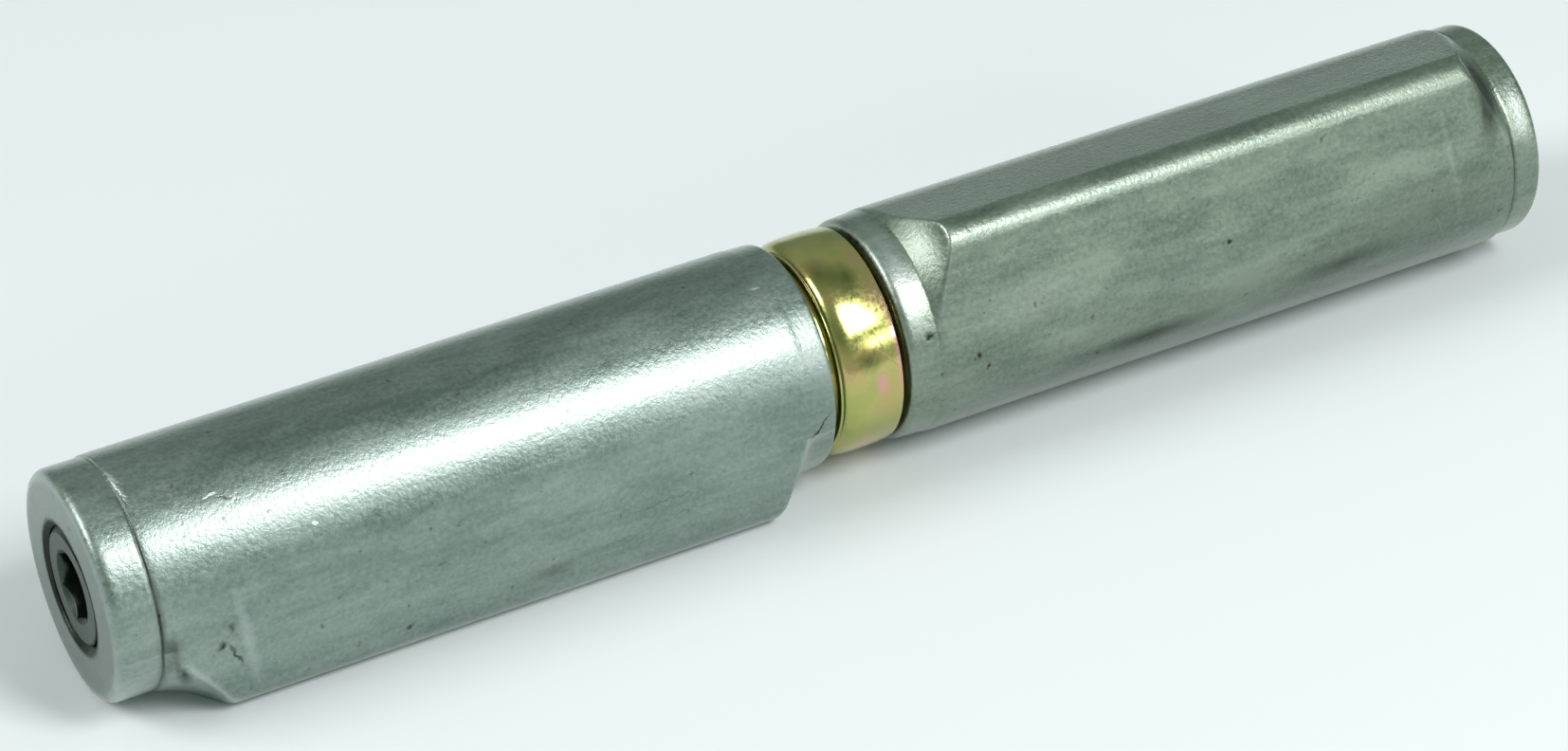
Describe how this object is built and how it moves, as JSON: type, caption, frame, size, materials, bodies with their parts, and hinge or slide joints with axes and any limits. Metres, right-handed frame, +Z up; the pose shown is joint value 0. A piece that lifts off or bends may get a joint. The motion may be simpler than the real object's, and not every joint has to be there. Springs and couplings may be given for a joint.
{
  "type": "weld-on barrel hinge",
  "caption": "Drop-profile weld-on barrel hinge in bare steel: two knuckles on a pressed-in pin, a covered thrust bearing between them and a height-setting screw in one end.",
  "frame": {"origin": "under the middle of the hinge, on the surface it lies on: midway along the hinge line and at the lowest point of the barrel", "axes": "+X along the hinge line from the upper (screw) knuckle to the lower (pin) knuckle, +Z up, away from the surface that the upper knuckle's flank lies on"},
  "size_m": [0.15, 0.022, 0.0241],
  "materials": {
    "knuckle_steel": "bare rolled and tumbled steel, satin, slightly mottled",
    "pin_steel": "ground",
    "blackened_steel": "blackened, worn bright on the face",
    "ball_steel": "polished",
    "yellow_passivated_steel": "zinc plated and yellow passivated, glossy",
    "race_steel": "zinc plated",
    "cage_steel": "pressed sheet"
  },
  "bodies": {
    "lower": {"male_knuckle": "knuckle_steel", "hinge_pin": "pin_steel", "lower_race": "race_steel"},
    "rolling_set": {"ball_cage": "cage_steel", "ball_01": "ball_steel", "ball_02": "ball_steel", "ball_03": "ball_steel", "ball_04": "ball_steel", "ball_05": "ball_steel", "ball_06": "ball_steel", "ball_07": "ball_steel", "ball_08": "ball_steel", "ball_09": "ball_steel", "ball_10": "ball_steel", "ball_11": "ball_steel", "ball_12": "ball_steel"},
    "bearing_top": {"upper_race": "race_steel", "bearing_shell": "yellow_passivated_steel"},
    "pivot": {"pivot_ball": "ball_steel"},
    "upper": {"female_knuckle": "knuckle_steel"},
    "screw": {"set_screw": "blackened_steel"}
  },
  "joints": [
    {"name": "swing", "type": "hinge", "parent": "lower", "child": "bearing_top", "pos_m": [0, 0, 0.011], "axis": [1, 0, 0], "continuous": true},
    {"name": "cage_turn", "type": "hinge", "parent": "lower", "child": "rolling_set", "pos_m": [0, 0, 0.011], "axis": [1, 0, 0], "continuous": true},
    {"name": "lift_off", "type": "slide", "parent": "bearing_top", "child": "pivot", "axis": [-1, 0, 0], "range_m": [0, 0.056]},
    {"name": "height_adjust", "type": "slide", "parent": "pivot", "child": "upper", "axis": [-1, 0, 0], "range_m": [0, 0.00394]},
    {"name": "screw_turn", "type": "hinge", "parent": "pivot", "child": "screw", "pos_m": [0, 0, 0.011], "axis": [1, 0, 0], "range_deg": [0, 810.5]}
  ],
  "couplings": [
    {"joint": "cage_turn", "follows": "swing", "ratio": 0.5},
    {"joint": "screw_turn", "follows": "height_adjust", "rad_per_m": 3590.4}
  ]
}
